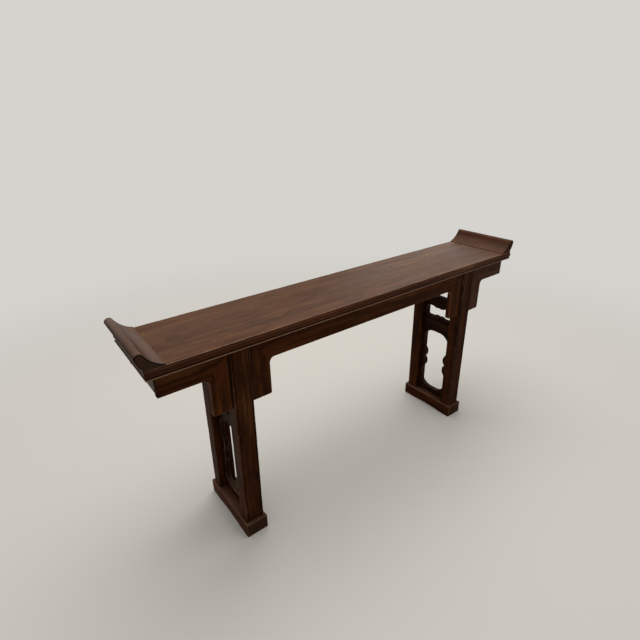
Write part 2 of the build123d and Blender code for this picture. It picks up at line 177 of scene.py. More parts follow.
class AltarFinish(bpy.types.PropertyGroup):
    """Colours and wear of the wood."""

    faded_light: colour("Faded light", "Light bands of the faded upper faces", (0.118, 0.050, 0.019))
    faded_dark: colour("Faded dark", "Dark bands of the faded upper faces", (0.054, 0.022, 0.0095))
    frame_light: colour(
        "Frame light", "Light bands of the top's edge and the long boards", (0.092, 0.0265, 0.0060)
    )
    upright_light: colour(
        "Upright light", "Light bands of the boards that stand upright", (0.098, 0.0280, 0.0060)
    )
    # The legs' colours are darker than the boards': partly their own tone, partly painted shade.
    leg_light: colour("Leg light", "Light bands of the legs", (0.073, 0.0200, 0.0042))
    frame_dark: colour("Frame dark", "Dark bands of the legs and boards", (0.020, 0.0055, 0.0015))
    # The panel colours are a darker copy of the wood: painted shade under the table.
    shaded_panel_light: colour("Shaded panel light", "Light bands of the trestle panels", (0.040, 0.012, 0.004))
    shaded_panel_dark: colour("Shaded panel dark", "Dark bands of the trestle panels", (0.008, 0.0025, 0.001))
    ochre: colour("Ochre", "Rubbed streaks", (0.210, 0.105, 0.036))
    end_grain: colour("End grain", "Open end grain", (0.032, 0.019, 0.011))
    # Worn arrises; this colour also paints the highlights along the bead's crest and the scroll's inner
    # shoulder.
    worn: colour("Worn", "Wood where the finish has rubbed off an arris", (0.310, 0.180, 0.112))
    # Grime in joints, painted shade in grooves, quirks and beside the legs, and the eyes of knots.
    grime_and_shade: colour("Grime", "Old wax and dirt in joints and grooves", (0.006, 0.003, 0.002))
    # The film of dust on upper faces also paints sheen: stronger at the right of the top and on the left
    # flange.
    dust_and_sheen: colour("Dust and sheen", "Thin haze on the upper faces", (0.138, 0.104, 0.090))
    haze_and_sheen: share("Haze and sheen", "Strength of the haze on the upper faces", 0.22)
    wear: share("Wear", "How much of the arrises has rubbed through", 0.5)


class AltarStageLook(bpy.types.PropertyGroup):
    """Floor, light and camera."""

    floor: colour("Floor", "Colour of the floor", (0.62, 0.60, 0.56))
    backdrop: colour("Backdrop", "Colour behind the table", (0.66, 0.65, 0.62))
    floor_near: length("Floor near", "Distance from the table where the floor starts to fade", 1.0)
    floor_far: length("Floor far", "Distance from the table where only the backdrop's colour is left", 3.4)
    eye: FloatVectorProperty(
        name="Eye", description="Where the camera stands", default=(-1.0701, -1.2093, 1.3937),
        size=3, unit="LENGTH", subtype="TRANSLATION",
    )
    heading: angle("Heading", "Turn of the camera from +Y towards +X", 37.02)
    pitch: angle("Pitch", "How far the camera looks down", 25.08)
    roll: angle("Roll", "Roll of the camera", -0.94)
    lens: FloatProperty(name="Lens", description="Focal length in millimetres", default=25.09, min=1)


def sizes(kind):
    """The settings of one kind: top, boards, openings, finish or stage."""
    return getattr(bpy.context.scene, f"altar_{kind}")


# ---------------------------------------------------------------- outlines
# Each point has its inward normal, how far that leads (to an arc's centre), the mitre to follow from
# there, its wear and its station.
Outline = namedtuple("Outline", "points inward radius mitre wear station")

band = 0.002          # width of the strip beside an arris over which its wear fades
run_margin = 0.006    # straight runs keep this clear of a corner, so that insets don't fold
run_step = 0.014      # spacing of points along straight runs
turn_step = math.radians(22.5)    # spacing of points round corners
sharp_turn = math.radians(32)     # faces that meet at more than this keep a sharp edge
weld = 0.000002       # points that lie closer than this are one
beyond = 0.01         # how far a cutting block reaches past the faces that it cuts
grimy_and_shaded = -1.0          # wear of a corner painted dark: grime, and painted shade in grooves and quirks. A worn arris has 1, and a flat 0


def ripple(along, seed):
    """Slow unevenness: the mean of four sines, whose phases come from the seed. About -1 to 1."""
    waves = 0.11 * np.array([1.9, 1.0, 0.53, 0.29])    # their lengths
    phases = np.random.default_rng(seed).uniform(0, 2 * np.pi, waves.size)
    return 1.6 * np.sin(2 * np.pi * np.asarray(along)[..., None] / waves + phases).mean(-1)


def outline(corners):
    """Closed outline through corners (a, b, radius, wear), anticlockwise, as straight runs and arcs.

    An arc of radius r round a corner starts r * tan(turn / 2) before it. A point's inward normal is
    the run's left normal, turned along the arc. A corner with no radius keeps one mitred point. A
    station is the distance along the corners, and is the same all round one corner.
    """
    corners = np.array(corners, float)
    here, radii, worn = corners[:, :2], corners[:, 2], corners[:, 3]
    ahead = np.roll(here, -1, 0) - here
    size = np.linalg.norm(ahead, axis=1)
    ahead = ahead / size[:, None]
    normal = np.stack([-ahead[:, 1], ahead[:, 0]], 1)
    came = np.roll(normal, 1, 0)
    cross = came[:, 0] * normal[:, 1] - came[:, 1] * normal[:, 0]
    turn = np.arctan2(cross, (came * normal).sum(1))
    mitre = (came + normal) / (1 + (came * normal).sum(1))[:, None]
    back = radii * np.tan(np.abs(turn) / 2)
    station = np.concatenate([[0.0], np.cumsum(size)])
    made = []

    def add(points, inward, reach, mitre, worn, station):
        """Adds points, and spreads over them what they share."""
        full = np.ones(len(points))
        made.append((points, inward, reach * full, full[:, None] * mitre, worn * full, station * full))

    for i in range(len(corners)):
        if radii[i] > 0:
            count = max(3, 1 + math.ceil(abs(turn[i]) / turn_step))
            part = np.linspace(0, turn[i], count)[:, None]
            inward = came[i] * np.cos(part) + np.array([-came[i][1], came[i][0]]) * np.sin(part)
            start = here[i] - back[i] * np.array([came[i][1], -came[i][0]])
            side = math.copysign(radii[i], turn[i])
            points = start + side * came[i] - side * inward
            reach = radii[i] if turn[i] > 0 else np.inf
        else:
            points, inward, reach = here[i][None], mitre[i][None], 0.0
        add(points, inward, reach, mitre[i], worn[i], station[i])
        after = (i + 1) % len(corners)
        free = size[i] - back[i] - back[after]
        if free > 2.5 * run_margin:
            count = max(2, 1 + math.ceil((free - 2 * run_margin) / run_step))
            away = back[i] + np.linspace(run_margin, free - run_margin, count)
            square = np.ones((count, 1)) * normal[i]
            add(here[i] + away[:, None] * ahead[i], square, np.inf, square, 0.0, station[i] + away)
    return Outline(*(np.concatenate(parts) for parts in zip(*made)))


def arc(start, through, end, count):
    """Points of the circle through three points, from the first to the last."""
    (ax, ay), (bx, by), (cx, cy) = start, through, end
    a, b, c = ax * ax + ay * ay, bx * bx + by * by, cx * cx + cy * cy
    d = 2 * (ax * (by - cy) + bx * (cy - ay) + cx * (ay - by))
    x = (a * (by - cy) + b * (cy - ay) + c * (ay - by)) / d
    y = (a * (cx - bx) + b * (ax - cx) + c * (bx - ax)) / d
    first, middle, last = (math.atan2(v - y, u - x) for u, v in (start, through, end))
    whole = 2 * math.pi
    turn = (last - first) % whole
    if (middle - first) % whole > turn:
        turn -= whole
    angles = np.linspace(first, first + turn, count)
    radius = math.hypot(ax - x, ay - y)
    return np.stack([x + radius * np.cos(angles), y + radius * np.sin(angles)], 1)


def corner_rows(points, radius=0.0, wear=0.0):
    """Rows of an outline's corners from points alone."""
    points = np.atleast_2d(points)
    rest = np.broadcast_to([radius, wear], (len(points), 2))
    return np.concatenate([points, rest], 1)


def rectangle(x0, y0, x1, y1, low=(0, 0), high=(0, 0)):
    """Outline of a rectangle, with the radius and wear of its two lower and its two upper corners."""
    return outline([(x0, y0, *low), (x1, y0, *low), (x1, y1, *high), (x0, y1, *high)])


def inset(shape, amount):
    """The outline moved inwards: along its normals to an arc's centre, then along its mitres.

    amount has one row for each ring and one column for each point, or one column for all.
    """
    amount = np.broadcast_to(amount, (len(amount), len(shape.points)))
    near = np.minimum(amount, shape.radius)
    beyond_centre = np.where(np.isinf(shape.radius), 0.0, amount - near)
    return shape.points + near[..., None] * shape.inward + beyond_centre[..., None] * shape.mitre


# ---------------------------------------------------------------- surfaces
def rounded(radius, count=4):
    """Heights, insets and wear of a quarter round, from a ring on the flat just inside it.

    A square corner has a radius of nothing and is one ring.
    """
    if not radius:
        return np.zeros((3, 1))
    turn = np.linspace(0, math.pi / 2, count)
    height, set_in = radius * (1 - np.cos(turn)), radius * (1 - np.sin(turn))
    return np.array([[0, *height], [radius + band, *set_in], [0, *np.ones(count)]])


def profile(low, high, low_arris, high_arris, step):
    """Rings from one flat face to the other, rounded at both: heights, insets and wear."""
    below, above = rounded(low_arris), rounded(high_arris)[:, ::-1]
    below[0], above[0] = low + below[0], high - above[0]
    first, last = low + low_arris + band, high - high_arris - band
    if last > first:
        walls = np.linspace(first, last, max(2, math.ceil((last - first) / step)))
    else:
        walls = np.array([(low + high) / 2])
    return np.concatenate([below, [walls, 0 * walls, 0 * walls], above], 1)


def prism(shape, low, high, arris=(0.0, 0.0), seed=1, step=0.02, unevenness=0.0003):
    """An outline carried along its normal from low to high: rings of (a, b, c) and their wear.

    The arris radii swell and shrink along the outline by a third. Worn corners of the outline sink
    in along their normals by a slow ripple of the height.
    """
    heights, insets, worn = profile(low, high, *arris, step)
    swell = 1 + 0.33 * ripple(shape.station, seed)
    on_wall = (insets == 0)[:, None]
    sink = np.maximum(shape.wear, 0) * np.maximum(0, ripple(heights, seed + 1) + 0.3)[:, None] * unevenness
    amount = np.where(on_wall, sink, insets[:, None] * swell)
    rings = inset(shape, amount)
    wear = np.where(on_wall, shape.wear, worn[:, None])
    return np.concatenate([rings, np.broadcast_to(heights[:, None, None], (*wear.shape, 1))], -1), wear


def along_y(rings):
    """Points of an outline in X and Z that was carried along Y."""
    return rings[..., [0, 2, 1]]


def mark(mesh, label, values):
    """Sets a number on every point of a mesh."""
    layer = mesh.attributes.get(label) or mesh.attributes.new(label, "FLOAT", "POINT")
    layer.data.foreach_set("value", np.ravel(values).astype(np.float32))


def new_piece(name, points, faces, wear):
    """A closed mesh with its normals turned outwards, and each point's wear."""
    mesh = bpy.data.meshes.new(name)
    mesh.from_pydata(points.reshape(-1, 3).tolist(), [], faces)
    mark(mesh, "wear", wear)
    work = bmesh.new()
    work.from_mesh(mesh)
    bmesh.ops.remove_doubles(work, verts=work.verts, dist=weld)
    bmesh.ops.recalc_face_normals(work, faces=work.faces)
    if work.calc_volume(signed=True) < 0:
        bmesh.ops.reverse_faces(work, faces=work.faces)
    work.to_mesh(mesh)
    work.free()
    piece = bpy.data.objects.new(name, mesh)
    bpy.context.scene.collection.objects.link(piece)
    return piece


def skin(rings):
    """Quads between each ring and the next, round and round."""
    height, count = rings.shape[:2]
    index = np.arange(height * count).reshape(height, count)
    beside = np.roll(index, -1, 1)
    return np.stack([index[:-1], beside[:-1], beside[1:], index[1:]], -1).reshape(-1, 4).tolist()


def capped(name, rings, wear):
    """A piece from rings, with a flat face across the first and the last."""
    height, count = rings.shape[:2]
    ends = [list(range(count)), list(range((height - 1) * count, height * count))]
    return new_piece(name, rings, skin(rings) + ends, wear)


def carve(piece, tool, operation="DIFFERENCE"):
    """Cuts a tool out of a piece, for good, and removes the tool."""
    cut = piece.modifiers.new("cut", "BOOLEAN")
    cut.object, cut.operation, cut.solver = tool, operation, "MANIFOLD"
    shaped = piece.evaluated_get(bpy.context.evaluated_depsgraph_get())
    mesh = bpy.data.meshes.new_from_object(shaped)
    piece.modifiers.clear()
    old = piece.data
    piece.data = mesh
    mesh.name = piece.name
    bpy.data.meshes.remove(old)
    bpy.data.objects.remove(tool)


def block(low, high):
    """A plain cutting block between two corners."""
    (x0, y0, z0), (x1, y1, z1) = low, high
    points = rectangle(x0, y0, x1, y1).points
    rings = np.stack([np.column_stack([points, np.full(len(points), z)]) for z in (z0, z1)])
    return capped("tool", rings, np.zeros(rings.shape[:2]))


def turn_to(piece, side):
    """Turns a piece made at the front to the back, where side is -1: both X and Y change sign."""
    if side < 0:
        piece.data.transform(Matrix.Rotation(math.pi, 4, "Z"))


def clad(mesh, material):
    """Gives a mesh one of the woods. They are all made when the first is asked for."""
    if material not in bpy.data.materials:
        make_materials()
    mesh.materials.clear()
    mesh.materials.append(bpy.data.materials[material])


def finish_piece(piece, board, material, node):
    """Gives a piece its board number, material and body, and hides the node it stands for.

    A board's number seeds its grain. Each kind of piece has a ten of its own to count its boards in.
    """
    mark(piece.data, "board", np.full(len(piece.data.vertices), board))
    clad(piece.data, material)
    piece.data.polygons.foreach_set("use_smooth", np.ones(len(piece.data.polygons), bool))
    piece.data.set_sharp_from_angle(angle=sharp_turn)
    piece.data.update()
    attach(piece, "root")
    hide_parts(node)


# ---------------------------------------------------------------- shader groups
class Value:
    """A socket to reckon with: signs and methods add nodes to its tree, and names take its node's outputs."""

    def __init__(self, socket):
        self.socket, self.tree = socket, socket.id_data
        self.is_vector = socket.type == "VECTOR"

    def __getitem__(self, name):
        return Value(self.socket.node.outputs[name])

    def maths(self, operation, *others, output=0):
        """The result of a Math node, or of a Vector Math node where a vector takes part."""
        terms = (self, *others)
        vector = any(isinstance(term, tuple) or getattr(term, "is_vector", False) for term in terms)
        kind = "ShaderNodeVectorMath" if vector else "ShaderNodeMath"
        return wire(kind, dict(enumerate(terms)), output, operation=operation)

    def __add__(self, other):
        return self.maths("ADD", other)

    def __sub__(self, other):
        return self.maths("SUBTRACT", other)

    def __rsub__(self, other):
        return self * -1.0 + other

    def __mul__(self, other):
        if self.socket.type == "RGBA":
            return blend(1.0, self, other, "MULTIPLY")
        return self.maths("MULTIPLY", other)

    def __truediv__(self, other):
        return self.maths("DIVIDE", other)

    def __abs__(self):
        return self.maths("ABSOLUTE")

    def larger(self, other):
        """The larger of two numbers."""
        return self.maths("MAXIMUM", other)

    def dot(self, other):
        """The dot product of two vectors."""
        return self.maths("DOT_PRODUCT", other, output="Value")

    def length(self):
        """The length of a vector."""
        return self.maths("LENGTH", output="Value")

    def parts(self):
        """X, Y and Z of a vector."""
        x = wire("ShaderNodeSeparateXYZ", {0: self})
        return x, x["Y"], x["Z"]

    def ease(self, low, high, start=0.0, end=1.0):
        """The number carried smoothly from low..high to start..end."""
        values = {"Value": self, "From Min": low, "From Max": high, "To Min": start, "To Max": end}
        return wire("ShaderNodeMapRange", values, interpolation_type="SMOOTHSTEP")

    def noise(self, scale=1.0, detail=2.0, roughness=0.5):
        """A noise pattern from 0 to 1: in 3D over a vector, and in 1D over a number."""
        key, dimensions = ("Vector", "3D") if self.is_vector else ("W", "1D")
        values = {key: self, "Scale": scale, "Detail": detail, "Roughness": roughness}
        return wire("ShaderNodeTexNoise", values, "Fac", noise_dimensions=dimensions)

    def drawn(self, along, across, detail, roughness=0.5):
        """A noise pattern drawn out along X: its scales along and across the grain."""
        return (self * (along, across, across)).noise(1.0, detail, roughness)


def wire(kind, values=(), output=0, tree=None, **settings):
    """One output of a new node, with its settings, and its inputs set or linked from other Values.

    The node joins the tree of the first Value among its inputs. A colour of three numbers is opaque.
    """
    values = dict(values)
    tree = tree or next(value.tree for value in values.values() if isinstance(value, Value))
    node = tree.nodes.new(kind)
    for key, value in settings.items():
        setattr(node, key, value)
    for key, value in values.items():
        place = node.inputs[key]
        if isinstance(value, Value):
            tree.links.new(value.socket, place)
        else:
            place.default_value = (*value, 1) if place.type == "RGBA" and len(value) == 3 else value
    return Value(node.outputs[output])


def blend(amount, first, second, mode="MIX"):
    """Two colours mixed."""
    return wire("ShaderNodeMix", {0: amount, 6: first, 7: second}, 2, data_type="RGBA", blend_type=mode)


def group(name, **inputs):
    """A new shader node group: its inputs by name, and the function that ends it with its outputs.

    An input is given by its default number, or as "Vector" or "Color".
    """
    tree = bpy.data.node_groups.new(name, "ShaderNodeTree")

    def add_socket(label, kind, way):
        return tree.interface.new_socket(label, in_out=way, socket_type=f"NodeSocket{kind}")

    for label, value in inputs.items():
        if isinstance(value, str):
            add_socket(label, value, "INPUT")
        else:
            add_socket(label, "Float", "INPUT").default_value = value

    def put_out(**results):
        for label, value in results.items():
            add_socket(label, "Color" if value.socket.type == "RGBA" else "Float", "OUTPUT")
        out = tree.nodes.new("NodeGroupOutput")
        for label, value in results.items():
            tree.links.new(value.socket, out.inputs[label])

    return Value(tree.nodes.new("NodeGroupInput").outputs[0]), put_out


def fresh(kind, name):
    """A new material or world with an empty tree."""
    owner = getattr(bpy.data, kind).new(name)
    owner.use_nodes = True
    owner.node_tree.nodes.clear()
    return owner


def put_on(owner, shader, kind="ShaderNodeOutputMaterial"):
    """Ends a material or a world with its shader."""
    tree = owner.node_tree
    tree.links.new(shader.socket, tree.nodes.new(kind).inputs["Surface"])
    return owner


def grain_group():
    """Wood along X: growth rings round a pith far to one side, streaks, colour patches, fibres and pores.

    Rings are a noise of the distance from the pith. All but the rings are noises drawn out along X,
    on a place that sways slowly across the grain.
    """
    given, put_out = group(
        "wood grain", Vector="Vector", Board=0.0, Light="Color", Dark="Color", Ochre="Color",
        Streaks=0.4, Rings=110.0, Bold=0.4, Stain=0.0,
    )
    seed = given["Board"] * 0.7548
    place = given["Vector"] + seed * (2.3, 1.0, 1.7)    # every board is cut from another spot
    sway = place.drawn(2.6, 7.0, 3.0)
    place = place + sway * (0.0, 0.022, 0.022)
    pith = given["Vector"] * (0.0, 1.0, 1.0) + (0.0, 0.031, -0.11)    # a line along X beside the board
    away = (sway * 0.055 + pith.length()) * given["Rings"] + seed
    ring = away.noise(detail=3.0, roughness=0.62).ease(0.32, 0.68)
    streak = place.drawn(2.0, 46.0, 5.0, 0.64).ease(0.30, 0.70)
    patch = place.drawn(1.5, 9.0, 3.0, 0.6)
    fibre = place.drawn(9.0, 420.0, 3.0, 0.7)
    pore = place.drawn(70.0, 1500.0, 1.0).ease(0.62, 0.74)
    stain = place.drawn(10.0, 23.0, 5.0, 0.62).ease(0.36, 0.62, 1.0, 0.0)

    tone = streak + (ring - streak) * given["Bold"]
    shade = blend(tone, given["Dark"], given["Light"])
    shade = blend(patch.ease(0.50, 0.72) * (tone * given["Streaks"]), shade, given["Ochre"])
    shade = blend(patch.ease(0.50, 0.30) * 0.35, shade, shade * (1.15, 0.84, 0.80))
    shade = shade * fibre.ease(0.2, 0.8, 0.70, 1.26)
    shade = blend(pore * 0.55, shade, (0.006, 0.003, 0.002))
    shade = blend(stain * given["Stain"], shade, shade * (0.34, 0.30, 0.30))
    relief = fibre * 0.5 + ring * 0.35 - pore * 0.7
    put_out(Color=shade, Height=relief, Rough=fibre * 0.5 + pore * 0.5)


def wear_and_shade_group():
    """Where an arris has rubbed through, and where grime and painted shade lie: wear above and below 0,
    broken up by noise.
    """
    given, put_out = group("edge wear and shade", Vector="Vector", Wear=0.0, Amount=0.5)
    coarse, fine = given["Vector"].noise(22.0, 3.0), given["Vector"].noise(260.0, 3.0, 0.7)
    level = (fine * 0.45 + coarse * 0.75 + given["Amount"] * 0.5) * given["Wear"]
    put_out(Mask=level.ease(0.55, 0.95), Grime=(level * -1.0).ease(0.1, 0.6))


def haze_and_sheen_group():
    """A thin film of dust and old wax, with painted sheen, on faces that look up: patchy, and told apart from
    what has faded.
    """
    given, put_out = group("haze_and_sheen", Vector="Vector", Normal="Vector", Amount=0.3)
    _, _, upright = given["Normal"].parts()
    patch = given["Vector"].drawn(4.0, 11.0, 4.0, 0.6).ease(0.2, 0.75, 0.3, 1.0)
    smear = given["Vector"].drawn(18.0, 60.0, 3.0)
    mask = upright.ease(0.3, 0.8) * patch * given["Amount"]
    put_out(Mask=mask, Smear=smear, Up=upright.ease(0.5, 0.9))


def leg_shade_group():
    """Painted shade beside the legs: how near a point is to a leg's side, whose line leans with height."""
    given, put_out = group("leg shade", Vector="Vector", Reach=0.006)
    x, y, z = given["Vector"].parts()
    rate = leg_lean / (rail_z - foot_z)
    middle = z * -rate + (foot_x + rate * foot_z)
    off = (abs(abs(x) - middle) - leg_width / 2) / given["Reach"]
    off = off - 0.4 + given["Vector"].noise(45.0, 3.0) * 0.8
    proud = abs(y).ease(-apron_low.y, 0.001 - apron_low.y)
    above = z.ease(spandrel_low.z - 0.004, spandrel_low.z + 0.004)
    on_leg = proud * off.ease(-1.3, -0.9) * above
    on_board = off.ease(0.2, 1.0, 1.0, 0.0) * (1.0 - proud)
    put_out(Grime=on_leg.larger(on_board))


def knot_group():
    """A knot: a dark eye and two broken rings round it, all drawn out along the grain."""
    given, put_out = group("knot", Vector="Vector", At="Vector", Grain="Vector", Size=0.01)
    off = given["Vector"] - given["At"]
    off = off + given["Grain"] * (off.dot(given["Grain"]) * -0.35)
    away = off.length() / given["Size"] + given["Vector"].noise(50.0) * 0.5 - 0.25
    inner = abs(away - 1.0).ease(0.0, 0.45, 0.8, 0.0)
    outer = abs(away - 1.8).ease(0.0, 0.3, 0.4, 0.0)
    put_out(Eye=away.ease(0.1, 0.5, 0.5, 0.0), Ring=inner.larger(outer))


turns = {"X": (0, 0, 0), "Y": (0, 0, math.pi / 2), "Z": (0, math.pi / 2, 0)}
axes = {"X": (1, 0, 0), "Y": (0, 1, 0), "Z": (0, 0, 1)}


def placed(name, **values):
    """A shader group in a material, with its inputs set or linked. Its outputs are taken by name."""
    return wire("ShaderNodeGroup", values, node_tree=bpy.data.node_groups[name])


def wood(name, grain, light, dark, faded=1.0, haze_and_sheen=(1.0, 1.0), streaks=0.35, bold=0.25, rough=0.45,
         coat=0.02, gloss=0.05, stain=0.4, seat_shade=False, flange=False, right_lightening=0.0, rubbed=0.6, knots=()):
    """Lacquered wood whose grain runs along one axis: figure, dark end grain, worn arrises, haze with painted
    sheen, and painted shade.

    faded is how far faces that look up have faded, haze_and_sheen the share of the film of dust and
    painted sheen at the left and the right end, right_lightening how far the boards at the right are
    lightened towards the dust colour, rubbed the strength of worn arrises, and knots their places and
    sizes. seat_shade paints shade beside the legs. A flange has the film and its painted sheen only
    on its flat, and its right-hand end grain is pale.
    """
    look = sizes("finish")
    material = fresh("materials", name)
    tree = material.node_tree
    place = wire("ShaderNodeTexCoord", output="Object", tree=tree)
    turned = wire("ShaderNodeMapping", {"Vector": place, "Rotation": turns[grain]})
    worn = wire("ShaderNodeAttribute", output="Fac", tree=tree, attribute_name="wear")
    board = wire("ShaderNodeAttribute", output="Fac", tree=tree, attribute_name="board")
    normal = wire("ShaderNodeNewGeometry", output="Normal", tree=tree)
    past, _, rise = place.parts()

    # The film is dust and painted sheen: its share changes from the left to the right end by the pair.
    amount = past.ease(-seam_x, seam_x, look.haze_and_sheen * haze_and_sheen[0], look.haze_and_sheen * haze_and_sheen[1])
    end_share, up_share = 0.75, faded
    if flange:
        pale_end, faded_scroll = 0.15, 0.35
        amount = rise.ease(top_z + 0.0002, top_z + 0.009, look.haze_and_sheen, amount)
        end_share = past.ease(-seam_x, seam_x, end_share, pale_end)
        up_share = rise.ease(top_z + 0.002, top_z + 0.03, faded, faded_scroll)
    film_and_sheen = placed("haze_and_sheen", Vector=turned, Normal=normal, Amount=amount)
    up = film_and_sheen["Up"] * up_share
    figure = placed(
        "wood grain", Vector=turned, Board=board, Streaks=streaks, Bold=bold, Stain=stain,
        Light=blend(up, light, look.faded_light), Dark=blend(up, dark, look.faded_dark), Ochre=look.ochre,
    )
    shade = figure["Color"]
    for at, size in knots:
        knot = placed("knot", Vector=place, At=at, Size=size, Grain=axes[grain])
        shade = blend(knot["Ring"], shade, look.frame_dark)
        shade = blend(knot["Eye"], shade, look.grime_and_shade)
    ends = abs(normal.dot(axes[grain])).ease(0.75, 0.97)
    shade = blend(ends * end_share, shade, look.end_grain)
    rub_and_shade = placed("edge wear and shade", Vector=place, Wear=worn, Amount=look.wear)
    shade = blend(rub_and_shade["Mask"] * rubbed, shade, look.worn)
    shade = blend(film_and_sheen["Mask"], shade, look.dust_and_sheen)
    # Lightens the boards at the right end towards the dust colour.
    if right_lightening:
        lightened = film_and_sheen["Smear"].ease(0.3, 0.7, 0.5, 1.5) * right_lightening
        lightened = lightened * past.ease(foot_x - leg_width, foot_x + leg_width)
        shade = blend(lightened, shade, look.dust_and_sheen)
    # Grime, and painted shade in grooves, quirks and beside the legs.
    grime_and_shade_mask = rub_and_shade["Grime"]
    if seat_shade:
        grime_and_shade_mask = grime_and_shade_mask.larger(placed("leg shade", Vector=place, Reach=0.011))
    shade = blend(grime_and_shade_mask * 0.9, shade, look.grime_and_shade)

    level = figure["Rough"] * 0.22 + (rough - 0.1) + film_and_sheen["Smear"] * 0.14 + ends * 0.2
    level.socket.node.use_clamp = True
    height = film_and_sheen["Smear"] * 0.35 + figure["Height"]
    bump = wire("ShaderNodeBump", {"Height": height, "Strength": 0.22, "Distance": 0.0006})
    return put_on(material, wire("ShaderNodeBsdfPrincipled", {
        "Base Color": shade, "Roughness": level, "Normal": bump,
        "Coat Weight": coat, "Coat Roughness": 0.25, "Specular IOR Level": gloss,
    }))


def make_materials():
    """The groups and every material."""
    for make_group in (grain_group, wear_and_shade_group, haze_and_sheen_group, leg_shade_group, knot_group):
        make_group()
    look = sizes("finish")
    frame_colours = (look.frame_light, look.frame_dark)
    shaded_panel_colours = (look.shaded_panel_light, look.shaded_panel_dark)
    dull = {"gloss": 0.022, "coat": 0.0}
    # Boards along and upright: painted shade beside the legs, lightening at the right end, faded upper faces.
    dusty_and_shaded = {"seat_shade": True, "right_lightening": 0.11, "faded": 0.5, "bold": 0.15, **dull}
    top_knot = ((-0.709, -0.001, top_z), 0.009)
    spandrel_knot = ((-0.4986, apron_low.y, 0.622), 0.006)
    # The top's pair paints a sheen that grows to the right, and the flanges' pair a grey sheen on the left
    # flange.
    wood("top board", "X", *frame_colours, haze_and_sheen=(0.7, 1.8), streaks=0.7, bold=0.4, stain=0.15,
         gloss=0.06, knots=(top_knot,))
    wood("flange wood", "Y", *frame_colours, haze_and_sheen=(3.1, 0.3), streaks=0.2, stain=0.3, gloss=0.06,
         flange=True)
    wood("board along", "X", *frame_colours, stain=0.4, rubbed=0.45, **dusty_and_shaded)
    wood("board upright", "Z", look.upright_light, look.frame_dark, stain=0.5, rubbed=0.4,
         knots=(spandrel_knot,), **dusty_and_shaded)
    wood("frame across", "Y", *frame_colours, faded=0.5, rubbed=0.2, **dull)
    # The legs' darker colours and heavier stain are partly painted shade.
    wood("frame upright", "Z", look.leg_light, look.frame_dark, faded=0.4, stain=0.7, rubbed=0.35, **dull)
    wood("end board", "Y", *frame_colours, faded=0.6, coat=0.04, gloss=0.09)
    # Crossbars, trestle panels and battens take the shaded panel colours: painted shade under the table.
    wood("crossbar wood", "Y", *shaded_panel_colours, faded=0.15, stain=0.3, rubbed=0.0, **dull)
    wood("trestle panel", "Z", *shaded_panel_colours, faded=0.3, streaks=0.15, **dull)
    wood("underside", "Y", *shaded_panel_colours, faded=0, haze_and_sheen=(0, 0), streaks=0.2, coat=0.0, rough=0.7)


class AltarOperator(bpy.types.Operator):
    """Builds part of the table."""

    bl_options = {"REGISTER", "UNDO"}

    @classmethod
    def poll(cls, context):
        return context.scene is not None


# ---------------------------------------------------------------- top
def moulded_edge(reach, set_in):
    """Corner rows of the moulded edge from the underside up: bead, quirk, belly and fillet.

    The bead is a half round. The belly is the arc from the quirk, through the reach, to the fillet.
    """
    s = sizes("top")
    r = s.bead_radius
    face, quirk_top, belly_top = reach - s.quirk_depth, rail_z + 2 * r + s.quirk_height, top_z - s.edge_fillet
    fullest = (quirk_top + belly_top) / 2
    bead = corner_rows(arc((reach - r, rail_z), (reach, rail_z + r), (reach - r, rail_z + 2 * r), 9))
    belly = corner_rows(arc((face, quirk_top), (reach, fullest), (reach - set_in, belly_top), 15))
    bead[3:7, 3] = 1.4    # the crest of the bead: wear, and painted highlight
    # The quirk above the bead and the top of the belly under the fillet are painted dark as shade.
    bead[-1, 3] = belly[0, 3] = grimy_and_shaded
    belly[-1, 3] = grimy_and_shaded / 2
    return np.concatenate([bead, corner_rows([face, bead[-1, 1]], 0, grimy_and_shaded), belly])


def rail_section():
    """Section of the back rail in Y and Z, with a worn arris above the moulding."""
    s = sizes("top")
    return outline(np.concatenate([
        corner_rows([seam_y + s.seam, rail_z]),
        moulded_edge(half_depth, s.arris_set_in),
        corner_rows([half_depth - s.arris_set_in, top_z], sizes("boards").arris, 1.0),
        corner_rows([seam_y + s.seam, top_z], s.seam_arris),
    ]))


class ALTAR_OT_top_rails(AltarOperator):
    """Front and back rails: the moulded section carried between the mitres."""

    bl_idname = "altar.top_rails"
    bl_label = "Top rails"

    def execute(self, context):
        shape = rail_section()
        mitre = (half_length - seam_x) / (half_depth - seam_y)
        along = np.linspace(-1, 1, 121)
        deepest = 0.0004
        for number, (name, side) in enumerate(faces):
            low_spots = np.maximum(0, ripple(along * half_length, 5 + number) + 0.2)
            rings = inset(shape, np.maximum(shape.wear, 0) * low_spots[:, None] * deepest)
            y, z = rings[..., 0], rings[..., 1]
            reach = seam_x + (y - seam_y) * mitre - sizes("boards").joint / 2
            points = np.stack([along[:, None] * reach, -side * y, z], -1)
            piece = capped(f"rail_{name}", points, np.broadcast_to(shape.wear, y.shape))
            finish_piece(piece, 1 + number, "top board", f"top_rail_{name}")
        return {"FINISHED"}


